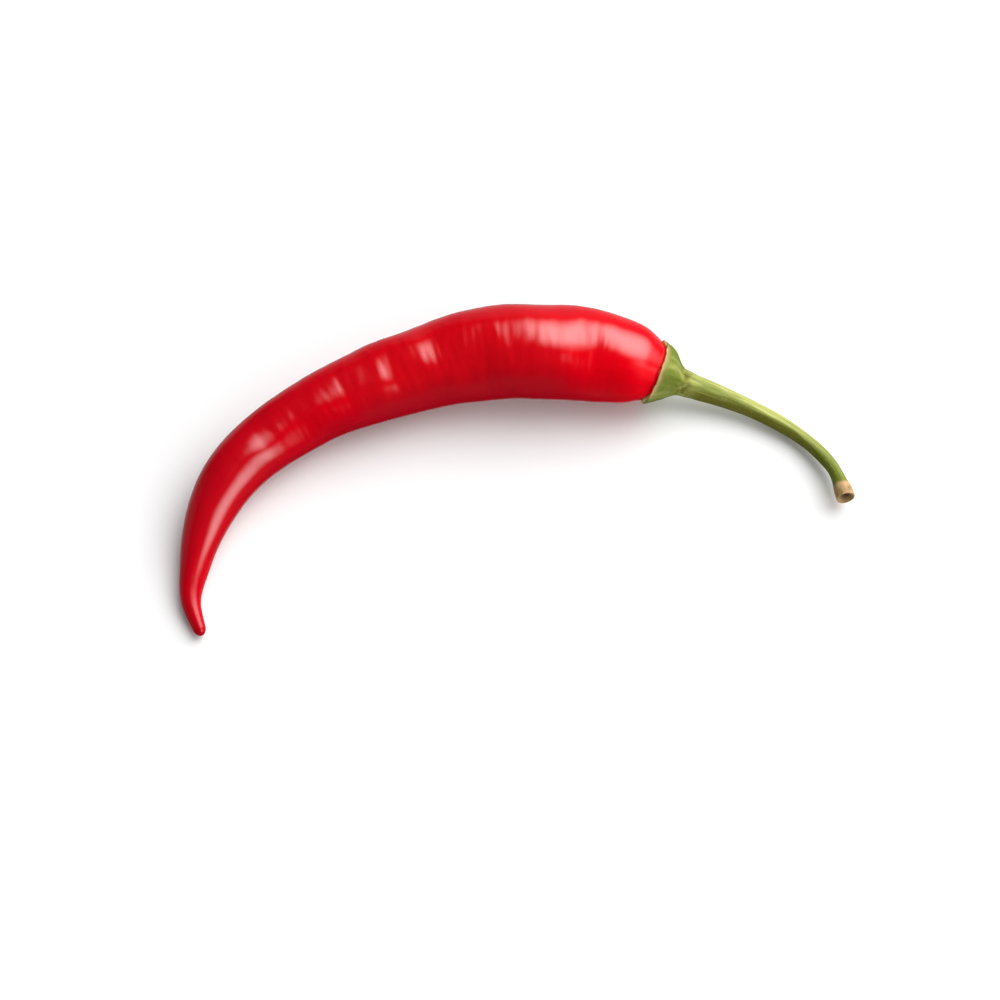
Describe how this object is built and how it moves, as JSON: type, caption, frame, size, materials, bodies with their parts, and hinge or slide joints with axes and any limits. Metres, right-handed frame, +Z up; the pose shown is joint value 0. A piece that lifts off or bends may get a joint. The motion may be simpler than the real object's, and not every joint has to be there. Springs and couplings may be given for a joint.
{
  "type": "chilli pepper",
  "caption": "Long curved red chilli pepper with green calyx and bent stem, lying on its side as picked.",
  "frame": {"origin": "on the surface that the pepper lies on, under the middle of its bounding box", "axes": "+Z up, +X along the longest side of the lying pepper towards its stem, +Y towards the outer side of the curve"},
  "size_m": [0.1351, 0.0679, 0.0198],
  "materials": {
    "red_skin": "gloss",
    "green_stalk": "satin"
  },
  "bodies": {
    "root": {"fruit": "red_skin", "calyx_and_stem": "green_stalk"}
  },
  "joints": []
}
